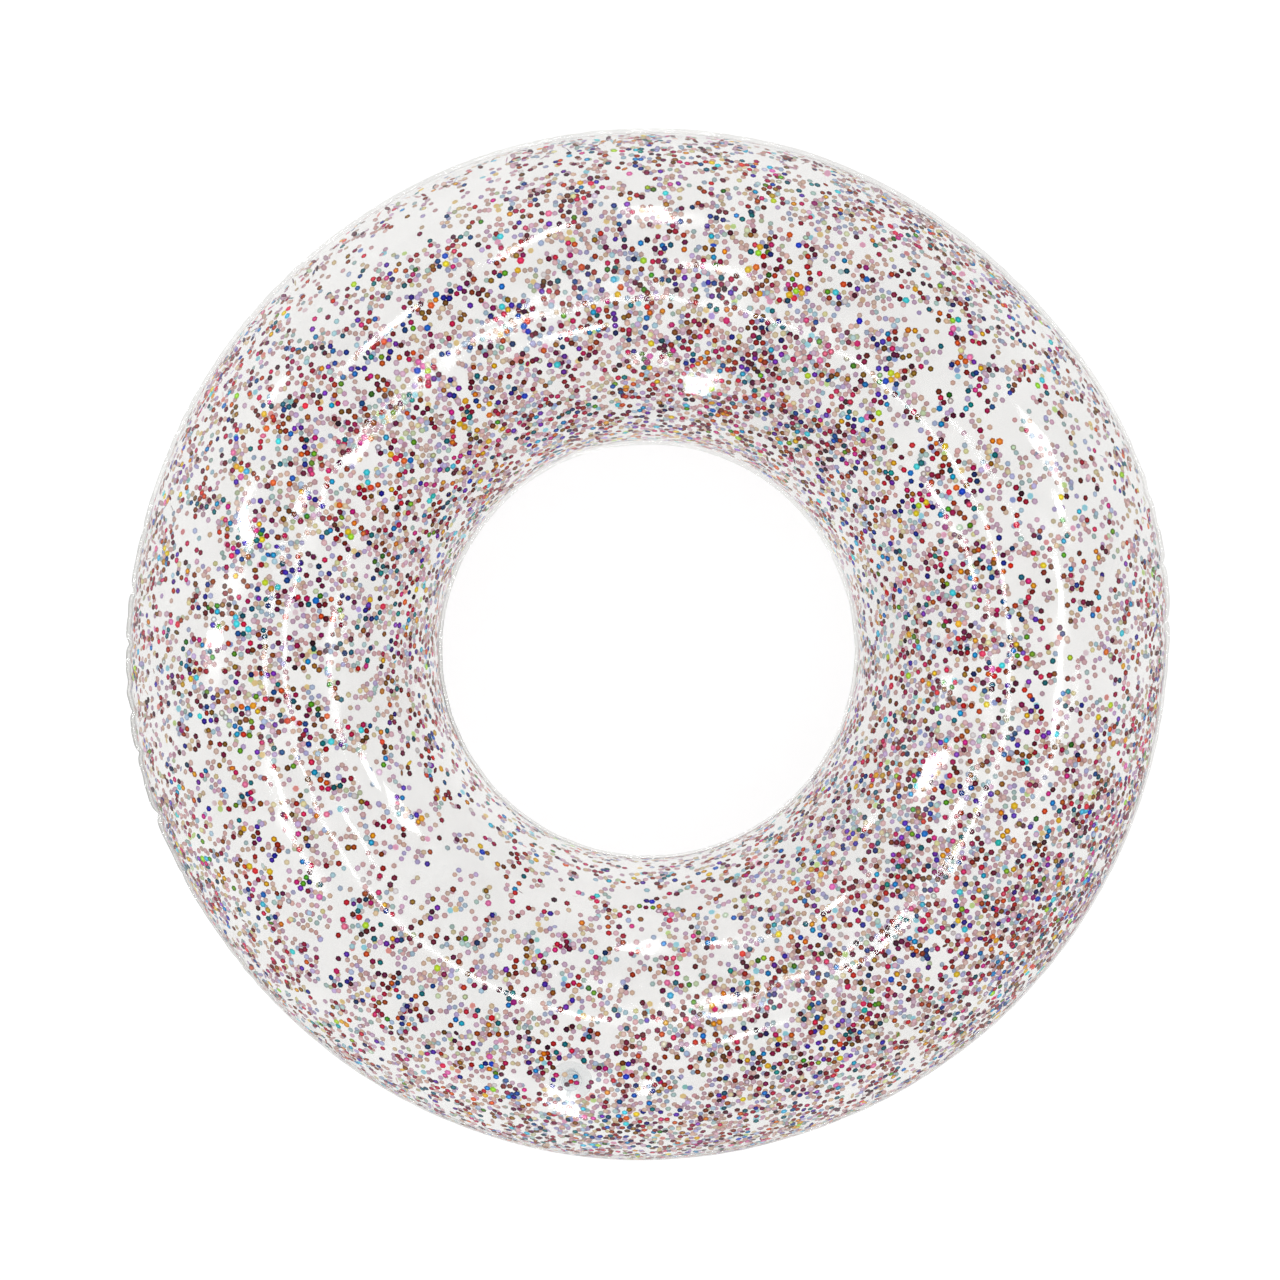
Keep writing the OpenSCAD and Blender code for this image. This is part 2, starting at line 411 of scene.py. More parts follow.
# skirt: thin cone with an S-shaped section
sk_t = np.linspace(0, 1, 13)
sk_r = 10.5 + (6.5 - 10.5) * (sk_t - 0.06 * np.sin(TAU * sk_t))
sk_z = -1.12 + (-9.0 + 1.12) * (sk_t + 0.05 * np.sin(TAU * sk_t))
half_t = 0.24 + 0.16 * sk_t
skirt_profile = [(r, z + h) for r, z, h in zip(sk_r, sk_z, half_t)] + [(r, z - h) for r, z, h in zip(sk_r[::-1], sk_z[::-1], half_t[::-1])]
skirt = outward(lathe("skirt", skirt_profile))

# plug: hollow shank with a sealing bead, a dished head, and a finger tab with grip ribs
SH = 3.94
plug_profile = rounded(
    [(0.0, 4.25), (4.2, 4.25), (5.0, 3.95), (5.6, 3.95), (6.4, 4.3), (7.6, 4.1), (8.2, 3.6), (8.2, 2.5), (7.7, 2.02),
     (SH, 2.02), (SH, -1.9), (SH - 0.25, -2.2), (SH - 0.25, -2.6), (SH, -2.9), (SH, -3.6), (SH - 0.9, -5.0), (2.0, -5.0),
     (1.8, -0.5), (0.0, -0.1)],
    [0.0, 0.5, 0.3, 0.3, 0.5, 0.5, 0.4, 0.4, 0.2, 0.25, 0.2, 0.1, 0.1, 0.2, 0.3, 0.3, 0.25, 0.5, 0.0], 4)
plug = crisp(outward(lathe("plug_body", plug_profile)))


def bar(name, stations, section):
    """Sweeps a closed section of (side, up) offsets along stations of (position, side, up), closed at both ends."""
    rings = np.array([[np.array(c) + np.array(s) * a + np.array(u) * b for a, b in section] for c, s, u in stations])
    n, k = rings.shape[:2]
    faces = [[i * k + j, i * k + (j + 1) % k, (i + 1) * k + (j + 1) % k, (i + 1) * k + j] for i in range(n - 1) for j in range(k)]
    faces += [list(range(k))[::-1], [(n - 1) * k + j for j in range(k)]]
    return outward(new_mesh(name, valve_world(rings.reshape(-1, 3)), faces))


def round_rect(w, h, r, steps=4):
    pts = []
    for cx, cy, a0 in ((w / 2 - r, h / 2 - r, 0), (-w / 2 + r, h / 2 - r, 90), (-w / 2 + r, -h / 2 + r, 180), (w / 2 - r, -h / 2 + r, 270)):
        for k in range(steps + 1):
            a = math.radians(a0 + 90 * k / steps)
            pts.append((cx + r * math.cos(a), cy + r * math.sin(a)))
    return pts


# finger tab, with ribs across it
tab_stations = []
for k in range(29):
    f = k / 28
    x = 7.1 + 4.1 * f
    rib = 0.16 * max(0.0, math.sin(math.pi * 5 * max(0.0, f - 0.22) / 0.66)) if 0.22 < f < 0.88 else 0.0
    wide = 6.0 * (1 - 0.32 * max(0.0, (f - 0.55) / 0.45) ** 2)
    thick = 1.1 + rib * 2 - 0.45 * max(0.0, (f - 0.9) / 0.1) ** 2
    sc = (wide / 6.0, thick / 1.1)
    tab_stations.append(((x, 0.0, 3.05), (0.0, sc[0], 0.0), (0.0, 0.0, sc[1])))
tab = crisp(bar("plug_tab", tab_stations, round_rect(6.0, 1.1, 0.4)), 50)


def join(name, *obs):
    """Joins separate solids of one moulding into one watertight piece."""
    first = obs[0]
    for other in obs[1:]:
        m = first.modifiers.new("join", "BOOLEAN")
        m.operation, m.object, m.solver = "UNION", other, "MANIFOLD"
        apply_modifiers(first)
        me = other.data
        bpy.data.objects.remove(other)
        bpy.data.meshes.remove(me)
    first.name = name
    first.data.name = name
    return crisp(first)


plug = join("plug", plug, tab)

# tether: a U-shaped strap from the stem's rim to the plug's head, wider at its ends
mid, bend, reach = 2.075, 0.975, 15.0
path = []
for f in np.linspace(0, 1, 12):
    path.append((-(8.3 + (reach - 8.3) * f), mid - bend, 180.0))
for a in np.linspace(-90, 90, 16)[1:-1]:
    path.append((-(reach + bend * math.cos(math.radians(a))), mid + bend * math.sin(math.radians(a)), 180.0 - (a + 90)))
for f in np.linspace(1, 0, 12):
    path.append((-(8.0 + (reach - 8.0) * f), mid + bend, 0.0))
stations = []
for i, (x, z, _) in enumerate(path):
    x0, z0 = path[max(0, i - 1)][:2]
    x1, z1 = path[min(len(path) - 1, i + 1)][:2]
    d = np.array([x1 - x0, z1 - z0]); d /= np.linalg.norm(d)
    up = np.array([-d[1], 0, d[0]])
    edge = min(i, len(path) - 1 - i) / (len(path) / 2)
    w = 1.0 + 0.22 * max(0.0, 1 - edge * 5) ** 2 - 0.10 * min(1.0, edge * 1.5)
    stations.append(((x, 0, z), (0, w, 0), tuple(up)))
tether = crisp(bar("tether", stations, round_rect(4.0, 0.95, 0.3)), 50)

# check flap: thin disc with a thicker rim, a hinge bead and a raised centre
flap_profile = rounded([(0.0, -13.2), (1.6, -13.2), (2.0, -13.12), (4.2, -13.06), (5.0, -13.1), (5.0, -13.78), (4.3, -13.84), (2.4, -13.72),
                        (1.8, -13.84), (0.0, -13.84)], [0, 0.2, 0.2, 0.2, 0.2, 0.2, 0.2, 0.2, 0.2, 0], 3)
flap_disc = outward(lathe("flap_disc", flap_profile, 96))
bead = bar("flap_bead", [((5.0, y, -13.45), (1, 0, 0), (0, 0, 1)) for y in np.linspace(-2.0, 2.0, 9)],
           [(0.4 * math.cos(t), 0.4 * math.sin(t)) for t in np.linspace(0, TAU, 24, endpoint=False)])
web = bar("flap_web", [((x, 0, -13.45), (0, 1, 0), (0, 0, 1)) for x in np.linspace(3.4, 5.0, 5)], round_rect(3.9, 0.56, 0.15))
flap = join("flap", flap_disc, bead, web)

# flange: disc that follows the film's inside, with weld ribs round it
fl_n, fl_rho = 144, np.array([10.5, 10.8, 11.6, 12.2, 12.6, 13.0, 13.6, 14.2, 14.6, 15.0, 15.6, 16.2, 16.6, 17.0, 17.6, 18.4, 19.2, 19.7, 19.95])
rib = np.array([0, 0, 0, 0, .12, 0, 0, 0, .12, 0, 0, 0, .12, 0, 0, 0, 0, 0, 0])
top_cut = np.array([0.18, 0.05, .02, .02, .02, .02, .02, .02, .02, .02, .02, .02, .02, .02, .02, .02, .04, .14, .40])
bot_at = np.array([0.82, 0.97, 1, 1, 1, 1, 1, 1, 1, 1, 1, 1, 1, 1, .95, .85, .75, .66, .58])
fa = np.linspace(0, TAU, fl_n, endpoint=False)


def on_tube(x, y, inside_mm):
    """Heights z (mm) over the valve's plane at which x, y meets the tube that lies inside_mm within the film's outside."""
    z = np.full(np.broadcast(x, y).shape, -inside_mm, float)
    for _ in range(8):
        q = valve_world(np.stack([x, y, z], -1))
        f = np.hypot(np.hypot(q[..., 0], q[..., 1]) - R, q[..., 2]) - (RT - inside_mm / 1000.0)
        z = z - f * 1000.0
    return z


cols = []
for k, (rho, c) in enumerate(zip(fl_rho, top_cut)):
    x, y = rho * np.cos(fa), rho * np.sin(fa)
    cols.append(np.stack([x, y, on_tube(x, y, 0.4 + c)], -1))
for k in reversed(range(len(fl_rho))):
    rho = fl_rho[k]
    x, y = rho * np.cos(fa), rho * np.sin(fa)
    cols.append(np.stack([x, y, on_tube(x, y, 0.4 + bot_at[k] + rib[k])], -1))
fg = np.stack(cols, 1)
flange = crisp(outward(new_mesh("flange", valve_world(fg.reshape(-1, 3)), loop_grid(fl_n, fg.shape[1]))), 50)

# ---------------------------------------------------------------- glitter
def lin(*rgb):
    """Screen colour 0-255 to linear."""
    return tuple((c / 255 / 12.92) if c <= 10 else ((c / 255 + 0.055) / 1.055) ** 2.4 for c in rgb)


FAMILIES = {
    # share, the lacquered side from deep to bright (partly each flake's own tone, partly painted light and shade for
    # how it faces the lamps), the pale side
    "garnet": (0.320, [(96, 0, 20), (180, 2, 34), (234, 12, 52)], (232, 194, 190)),
    "plum": (0.135, [(46, 0, 28), (118, 0, 66), (170, 10, 116)], (222, 190, 214)),
    "scarlet": (0.065, [(190, 0, 16), (236, 12, 20), (255, 84, 44)], (244, 198, 188)),
    "rose": (0.055, [(204, 2, 98), (246, 36, 138), (255, 130, 196)], (244, 196, 220)),
    "navy": (0.075, [(6, 24, 100), (6, 66, 166), (14, 110, 226)], (188, 204, 236)),
    "azure": (0.040, [(0, 112, 206), (4, 172, 244), (76, 230, 255)], (184, 220, 244)),
    "teal": (0.065, [(0, 74, 100), (0, 124, 142), (4, 208, 198)], (188, 222, 220)),
    "green": (0.025, [(54, 112, 8), (108, 186, 18), (196, 248, 52)], (216, 230, 188)),
    "violet": (0.060, [(74, 14, 146), (118, 44, 214), (172, 116, 255)], (206, 190, 240)),
    "bronze": (0.110, [(108, 62, 6), (162, 102, 16), (214, 156, 44)], (236, 214, 180)),
    "gold": (0.035, [(250, 112, 4), (255, 182, 10), (255, 214, 40)], (252, 232, 176)),
    "silver": (0.015, [(160, 240, 206), (226, 242, 246), (255, 226, 240)], (232, 228, 229)),
}
names = list(FAMILIES)
shares = np.array([FAMILIES[n][0] for n in names])
shares = shares / shares.sum()
FR = 0.0027
g = np.random.default_rng(2024)

# where the flakes have gathered, on each film: degrees round the ring, distance from the ring's centre in m, spreads, weight
GATHERED = [(-32, 0.425, 12, 0.035, 3.0), (52, 0.430, 7, 0.022, 1.6), (272, 0.425, 15, 0.022, 2.6), (90, 0.235, 40, 0.035, 1.5),
            (180, 0.345, 12, 0.040, 1.0), (0, 0.250, 26, 0.035, 0.7), (68, 0.245, 20, 0.035, 0.9), (-55, 0.340, 24, 0.050, 1.1),
            (140, 0.330, 16, 0.040, 0.4), (152, 0.200, 22, 0.022, 1.3), (185, 0.200, 16, 0.020, 0.6), (318, 0.260, 22, 0.040, 0.8),
            (345, 0.438, 11, 0.016, 2.2), (0, 0.440, 8, 0.010, 1.2), (240, 0.435, 12, 0.02, 0.5), (206, 0.441, 6, 0.008, 2.6), (184, 0.443, 24, 0.006, 1.6),
            (144, 0.432, 8, 0.014, 0.8)]
THIN = [(122, 0.422, 17, 0.035, 0.72), (172, 0.425, 14, 0.040, 0.50), (-3, 0.385, 15, 0.045, 0.60), (262, 0.235, 24, 0.045, 0.65),
        (225, 0.235, 22, 0.050, 0.65), (232, 0.420, 14, 0.030, 0.30), (283, 0.300, 18, 0.050, 0.35), (35, 0.330, 14, 0.060, 0.50),
        (35, 0.410, 12, 0.040, 0.35), (213, 0.300, 18, 0.050, 0.45), (200, 0.400, 9, 0.040, 0.30), (75, 0.40, 12, 0.04, 0.2)]


def gathering(az, th, layer):
    """How likely a flake is at each place."""
    rho = R + RT * np.cos(th)
    deg = np.degrees(az)
    w = np.ones_like(az)
    for a, r, sa, sr, k in GATHERED:
        d = (deg - a + 180) % 360 - 180
        w = w + k * (1.0 if layer > 0 else 0.7) * np.exp(-0.5 * ((d / sa) ** 2 + ((rho - r) / sr) ** 2))
    for a, r, sa, sr, k in THIN:
        d = (deg - a + 180) % 360 - 180
        w = w * (1 - k * np.exp(-0.5 * ((d / sa) ** 2 + ((rho - r) / sr) ** 2)))
    # fewer near the outer weld, where they slide away
    a = np.degrees(np.abs(np.arctan2(np.sin(th), np.cos(th))))
    w = w * (0.78 + 0.22 * np.minimum(1.0, a / 30.0))
    w = w * (R + RT * np.cos(th)) / (R + RT)
    return w * np.maximum(0.25, 1 + 0.38 * waves(PATCH, az, th))


PATCH = wave_terms(26, 8, 60, -20, 20, g)
SPARK = wave_terms(22, 20, 90, -30, 30, g)
# families given to glinting flakes: their bright colour is a painted glint
GLINT_FAMILIES = [names.index(n) for n in ("gold", "scarlet", "azure", "gold", "silver", "rose", "gold", "navy", "green", "azure")]
painted_glint_at = []
CELL = 0.0048
flakes = []      # azimuth, angle round the tube, film, family
cells = {}


def place(layer, az, th, family):
    """Puts one flake down where there's room for it."""
    rr = RT - T
    rho = R + rr * math.cos(th)
    x, y, z = rho * math.cos(az), rho * math.sin(az), rr * math.sin(th)
    if (x - V_P[0]) ** 2 + (y - V_P[1]) ** 2 + (z - V_P[2]) ** 2 < 0.0225 ** 2:
        return False
    a = abs(math.degrees(th if th <= math.pi else th - TAU))
    if a < 1.2 or a > 178.8:
        return False
    gap = FR * (1.72 if g.random() < 0.88 else 0.95)
    i, j, k = int(x // CELL), int(y // CELL), int(z // CELL)
    for dx in (-1, 0, 1):
        for dy in (-1, 0, 1):
            for dz in (-1, 0, 1):
                for q in cells.get((layer, i + dx, j + dy, k + dz), ()):
                    if (x - q[0]) ** 2 + (y - q[1]) ** 2 + (z - q[2]) ** 2 < gap * gap:
                        return False
    cells.setdefault((layer, i, j, k), []).append((x, y, z))
    # where the sparkle pattern runs high, a flake is made a glinting one, with a bright family and colour: a painted
    # glint
    spark = float(waves(SPARK, az, th))
    lit = g.random() < min(0.85, max(0.0, (spark - 1.20) * 1.30)) + 0.008
    if lit and g.random() < 0.75:
        family = GLINT_FAMILIES[int(g.integers(len(GLINT_FAMILIES)))]
    painted_glint_at.append(lit)
    flakes.append((az, th, layer, family))
    return True


TARGET = {1: 11200, -1: 11600}
for layer in (1, -1):
    count = 0
    for _round in range(60):
        if count >= TARGET[layer]:
            break
        caz = g.uniform(0, TAU, 4000)
        cth = layer * g.uniform(0, math.pi, 4000)
        ok = g.random(4000) < gathering(caz, cth, layer) / 4.2
        for az, th in zip(caz[ok], cth[ok]):
            if count >= TARGET[layer]:
                break
            fam = int(g.choice(len(names), p=shares))
            clump = []
            size = int(g.choice([1, 2, 3, 4, 6, 8], p=[0.66, 0.19, 0.08, 0.04, 0.02, 0.01]))
            for k in range(size * 3):
                if len(clump) >= size:
                    break
                a1, t1 = az, th
                if clump:
                    a0, t0_ = clump[int(g.integers(len(clump)))]
                    head = g.uniform(0, TAU)
                    step = 2 * FR * g.uniform(0.86, 1.12)
                    a1 = a0 + step * math.cos(head) / (R + RT * math.cos(t0_))
                    t1 = t0_ + step * math.sin(head) / RT
                elif k > 0:
                    break
                if 0.02 < t1 * layer < math.pi - 0.02 and place(layer, a1, t1, fam):
                    clump.append((a1, t1))
                    count += 1
                if g.random() < 0.8:
                    fam = int(g.choice(len(names), p=shares))

F_AZ = np.array([f[0] for f in flakes]); F_TH = np.array([f[1] for f in flakes])
F_LAYER = np.array([f[2] for f in flakes]); F_FAM = np.array([f[3] for f in flakes])
nF = len(flakes)
LIT = np.array(painted_glint_at)
# frames: each flake lies against the film's inside, a few hang loose
depth = T + 0.00022 + g.uniform(0, 0.0005, nF)
weld_off = np.degrees(np.abs(np.arctan2(np.sin(F_TH), np.cos(F_TH))))
loose = g.random(nF) < 0.09 + 0.50 * np.exp(-(weld_off / 16.0) ** 2)
depth[loose] += g.uniform(0.0006, 0.004, loose.sum())
e = 1e-4
P = tube_point(F_AZ, F_TH, depth)
Pa = tube_point(F_AZ + e, F_TH, depth) - P
Pt = tube_point(F_AZ, F_TH + e, depth) - P
Pa /= np.linalg.norm(Pa, axis=1, keepdims=True)
Pt -= (Pt * Pa).sum(1, keepdims=True) * Pa
Pt /= np.linalg.norm(Pt, axis=1, keepdims=True)
Nn = np.cross(Pt, Pa)
out = np.stack([np.cos(F_TH) * np.cos(F_AZ), np.cos(F_TH) * np.sin(F_AZ), np.sin(F_TH)], -1)
Nn *= np.sign((Nn * out).sum(1, keepdims=True))
tilt = np.radians(np.where(loose, g.normal(0, 22 + 16 * np.exp(-(weld_off / 16.0) ** 2), nF), g.normal(0, 3.2, nF)))
tdir = g.uniform(0, TAU, nF)
tn = Nn + np.tan(np.clip(tilt, -1.0, 1.0))[:, None] * (np.cos(tdir)[:, None] * Pa + np.sin(tdir)[:, None] * Pt)
tn /= np.linalg.norm(tn, axis=1, keepdims=True)
tx = Pa - (Pa * tn).sum(1, keepdims=True) * tn
tx /= np.linalg.norm(tx, axis=1, keepdims=True)
ty = np.cross(tn, tx)
spin = g.uniform(0, TAU, nF)
size = FR * g.normal(1.0, 0.035, nF) * np.where(LIT, 1.12, 1.0)
# a flake keeps its rim inside the film when it tilts
lean = np.abs(np.sin(np.clip(tilt, -1.0, 1.0))) * size
P = P - out * (lean * 0.9)[:, None]
TH_F = 0.00006
# one flake: rim in the middle plane, a raised flat on each side
ha = np.arange(6) * TAU / 6
unit = np.concatenate([
    np.stack([np.cos(ha), np.sin(ha), np.zeros(6)], -1),
    np.stack([0.62 * np.cos(ha), 0.62 * np.sin(ha), np.full(6, 1.0)], -1),
    np.array([[0, 0, 1.15]]),
    np.stack([0.62 * np.cos(ha), 0.62 * np.sin(ha), np.full(6, -1.0)], -1),
    np.array([[0, 0, -1.15]])])
tri = []
for i in range(6):
    j = (i + 1) % 6
    tri += [(i, j, 6 + j), (i, 6 + j, 6 + i), (6 + i, 6 + j, 12)]
    tri += [(j, i, 13 + i), (j, 13 + i, 13 + j), (13 + j, 13 + i, 19)]
tri = np.array(tri)
rim_of = np.concatenate([np.full(6, 1.0), np.full(6, 0.5), [0.0], np.full(6, 0.5), [0.0]])
back_tri = np.array([k % 6 >= 3 for k in range(36)])

flake_obs = {}
for k, name in enumerate(names):
    sel = np.where(F_FAM == k)[0]
    n = len(sel)
    cs, sn = np.cos(spin[sel]), np.sin(spin[sel])
    ux = unit[None, :, 0] * cs[:, None] - unit[None, :, 1] * sn[:, None]
    uy = unit[None, :, 0] * sn[:, None] + unit[None, :, 1] * cs[:, None]
    # each flake's own irregular cut
    cutv = 1 + g.normal(0, 0.035, (n, 6))
    full = np.concatenate([cutv, cutv, np.ones((n, 1)), cutv, np.ones((n, 1))], 1)
    ux, uy = ux * full, uy * full
    v = (P[sel][:, None, :] + size[sel][:, None, None] * (ux[..., None] * tx[sel][:, None, :] + uy[..., None] * ty[sel][:, None, :])
         + TH_F * unit[None, :, 2, None] * tn[sel][:, None, :])
    v[..., 2] = np.maximum(v[..., 2], FLOOR_Z + T + 0.0001)
    # each flake's shade picks its colour from deep to bright: partly its own tone, partly painted light and shade for
    # how it faces the lamps; glinting flakes take the bright end, a painted glint
    shade = np.where(LIT[sel][:, None], g.uniform(0.88, 1.0, (n, 1)), g.random((n, 1)) * 0.86)
    hue = g.random((n, 1))
    turned = (g.random(n) < 0.27) & ~LIT[sel]
    # a big colour group is two pieces, one on each film, so that neither mesh is too heavy
    if n > 5400:
        parts = [("_upper", F_LAYER[sel] > 0), ("_lower", F_LAYER[sel] < 0)]
    else:
        parts = [("", np.ones(n, bool))]
    for suffix, keep in parts:
        c = int(keep.sum())
        f = (np.arange(c)[:, None, None] * 20 + tri[None]).reshape(-1, 3)
        ob = new_mesh("glitter_flakes_" + name + suffix, v[keep].reshape(-1, 3), f)
        me = ob.data
        ev = np.zeros(len(me.edges) * 2, np.int32)
        me.edges.foreach_get("vertices", ev)
        ev = ev.reshape(-1, 2) % 20
        sharp = me.attributes.new("sharp_edge", "BOOLEAN", "EDGE")
        sharp.data.foreach_set("value", (ev < 6).all(1))
        a = me.attributes.new("rim", "FLOAT", "POINT"); a.data.foreach_set("value", np.tile(rim_of, c).astype(np.float32))
        a = me.attributes.new("shade", "FLOAT", "FACE"); a.data.foreach_set("value", np.repeat(shade[keep], 36, 1).ravel().astype(np.float32))
        a = me.attributes.new("hue", "FLOAT", "FACE"); a.data.foreach_set("value", np.repeat(hue[keep], 36, 1).ravel().astype(np.float32))
        a = me.attributes.new("back", "FLOAT", "FACE"); a.data.foreach_set("value", np.maximum(np.tile(back_tri.astype(np.float32), c), np.repeat(turned[keep].astype(np.float32), 36)))
        flake_obs.setdefault(name, []).append(ob)

# ---------------------------------------------------------------- materials


class Nodes:
    """A small builder for one material's node tree."""

    def __init__(self, name):
        self.mat = bpy.data.materials.new(name)
        self.mat.use_nodes = True
        self.nt = self.mat.node_tree
        self.nt.nodes.clear()
        self.out = self.add("ShaderNodeOutputMaterial")

    def add(self, kind, **values):
        n = self.nt.nodes.new(kind)
        for k, v in values.items():
            if k.startswith("_"):
                setattr(n, k[1:], v)
        for k, v in values.items():
            if not k.startswith("_"):
                self.put(n.inputs[k.replace("__", " ")], v)
        return n

    def put(self, socket, v):
        if isinstance(v, bpy.types.NodeSocket):
            self.nt.links.new(v, socket)
        else:
            socket.default_value = v

    def math(self, op, a, b=0.0, clamp=False):
        n = self.nt.nodes.new("ShaderNodeMath")
        n.operation, n.use_clamp = op, clamp
        self.put(n.inputs[0], a)
        self.put(n.inputs[1], b)
        return n.outputs[0]

    def mix(self, fac, a, b, mode="MIX"):
        n = self.nt.nodes.new("ShaderNodeMix")
        n.data_type, n.blend_type = "RGBA", mode
        self.put(n.inputs[0], fac)
        self.put(n.inputs[6], a)
        self.put(n.inputs[7], b)
        return n.outputs[2]

    def attr(self, name):
        n = self.nt.nodes.new("ShaderNodeAttribute")
        n.attribute_name = name
        return n.outputs["Fac"]

    def noise(self, scale, detail=3.0, rough=0.5, vector=None):
        n = self.nt.nodes.new("ShaderNodeTexNoise")
        n.inputs["Scale"].default_value = scale
        n.inputs["Detail"].default_value = detail
        n.inputs["Roughness"].default_value = rough
        self.put(n.inputs["Vector"], vector if vector is not None else self.coords())
        return n.outputs["Fac"]

    def coords(self):
        if not hasattr(self, "_co"):
            self._co = self.nt.nodes.new("ShaderNodeTexCoord").outputs["Object"]
        return self._co

    def ramp(self, fac, stops):
        n = self.nt.nodes.new("ShaderNodeValToRGB")
        while len(n.color_ramp.elements) < len(stops):
            n.color_ramp.elements.new(0.5)
        for el, (p, c) in zip(n.color_ramp.elements, stops):
            el.position = p
            el.color = (*c, 1) if len(c) == 3 else c
        self.put(n.inputs[0], fac)
        return n.outputs[0]


def film_material():
    m = Nodes("clear_film")
    lw = m.add("ShaderNodeLayerWeight", Blend=0.5)
    facing = lw.outputs["Facing"]
    cosv = m.math("SUBTRACT", 1.0, facing)
    patches = m.noise(9.0, 4.0, 0.55)
    streak = m.noise(46.0, 3.0, 0.6)
    bump = m.nt.nodes.new("ShaderNodeBump")
    bump.inputs["Strength"].default_value = 0.12
    bump.inputs["Distance"].default_value = 0.002
    m.put(bump.inputs["Height"], m.math("ADD", m.math("MULTIPLY", patches, 0.8), m.math("MULTIPLY", streak, 0.12)))
    # mirror share by angle, on front faces only
    f5 = m.math("POWER", facing, 5.2)
    mirror = m.math("ADD", 0.050, m.math("MULTIPLY", f5, 0.42), clamp=True)
    backf = m.nt.nodes.new("ShaderNodeNewGeometry").outputs["Backfacing"]
    mirror = m.math("MULTIPLY", mirror, m.math("SUBTRACT", 1.0, backf))
    # light lost in the film, more at a slant
    slant = m.math("DIVIDE", 1.0, m.math("MAXIMUM", cosv, 0.70))
    lost = m.math("MULTIPLY", slant, m.math("ADD", 0.004, m.math("ADD", m.math("MULTIPLY", patches, 0.062), m.math("MULTIPLY", streak, 0.026))))
    lost = m.math("ADD", lost, m.math("MULTIPLY", m.attr("weld"), 0.34))
    clear = m.math("SUBTRACT", 1.0, m.math("MINIMUM", lost, 0.55))
    tint = m.mix(clear, (0.40, 0.40, 0.385, 1), (1.0, 1.0, 0.997, 1))
    tr = m.add("ShaderNodeBsdfTransparent", Color=tint)
    # bloomed patches of the film blur what it mirrors
    bloom = m.math("MULTIPLY", m.math("SUBTRACT", m.noise(24.0, 2.0, 0.5), 0.50, clamp=True), 1.1, clamp=True)
    rough = m.math("ADD", m.math("MULTIPLY", m.attr("inside"), 0.30), m.math("ADD", 0.05, m.math("ADD", m.math("MULTIPLY", streak, 0.06), bloom)))
    gloss = m.add("ShaderNodeBsdfPrincipled", Roughness=rough, Normal=bump.outputs["Normal"])
    gloss.inputs["Base Color"].default_value = (1, 1, 1, 1)
    gloss.inputs["Metallic"].default_value = 1.0
    one = m.add("ShaderNodeMixShader", Fac=mirror)
    m.nt.links.new(tr.outputs[0], one.inputs[1])
    m.nt.links.new(gloss.outputs[0], one.inputs[2])
    # faint milkiness, in soft patches
    haze = m.add("ShaderNodeBsdfDiffuse", Color=(0.93, 0.935, 0.92, 1))
    amount = m.math("MULTIPLY", m.math("SUBTRACT", m.noise(5.0, 3.0, 0.5), 0.45, clamp=True), 0.035)
    two = m.add("ShaderNodeMixShader", Fac=amount)
    m.nt.links.new(one.outputs[0], two.inputs[1])
    m.nt.links.new(haze.outputs[0], two.inputs[2])
    m.nt.links.new(two.outputs[0], m.out.inputs[0])
    return m.mat


def valve_material(name, tint, frost):
    m = Nodes(name)
    lw = m.add("ShaderNodeLayerWeight", Blend=0.5)
    facing = lw.outputs["Facing"]
    grain = m.noise(900.0, 3.0, 0.6)
    cloud = m.noise(160.0, 3.0, 0.55)
    bump = m.nt.nodes.new("ShaderNodeBump")
    bump.inputs["Strength"].default_value = 0.25
    bump.inputs["Distance"].default_value = 0.0002
    m.put(bump.inputs["Height"], grain)
    base = m.mix(cloud, (tint[0] * 0.93, tint[1] * 0.95, tint[2] * 0.97, 1), (*tint, 1))
    p = m.add("ShaderNodeBsdfPrincipled", Base__Color=base, Roughness=m.math("ADD", 0.20, m.math("MULTIPLY", cloud, 0.14)),
              Normal=bump.outputs["Normal"])
    p.inputs["IOR"].default_value = 1.52
    p.inputs["Subsurface Weight"].default_value = 0.0
    tr = m.add("ShaderNodeBsdfTransparent", Color=(0.975, 0.982, 0.984, 1))
    solid = m.math("ADD", frost, m.math("MULTIPLY", m.math("POWER", facing, 2.4), 0.62), clamp=True)
    mx = m.add("ShaderNodeMixShader", Fac=solid)
    m.nt.links.new(tr.outputs[0], mx.inputs[1])
    m.nt.links.new(p.outputs[0], mx.inputs[2])
    m.nt.links.new(mx.outputs[0], m.out.inputs[0])
    return m.mat


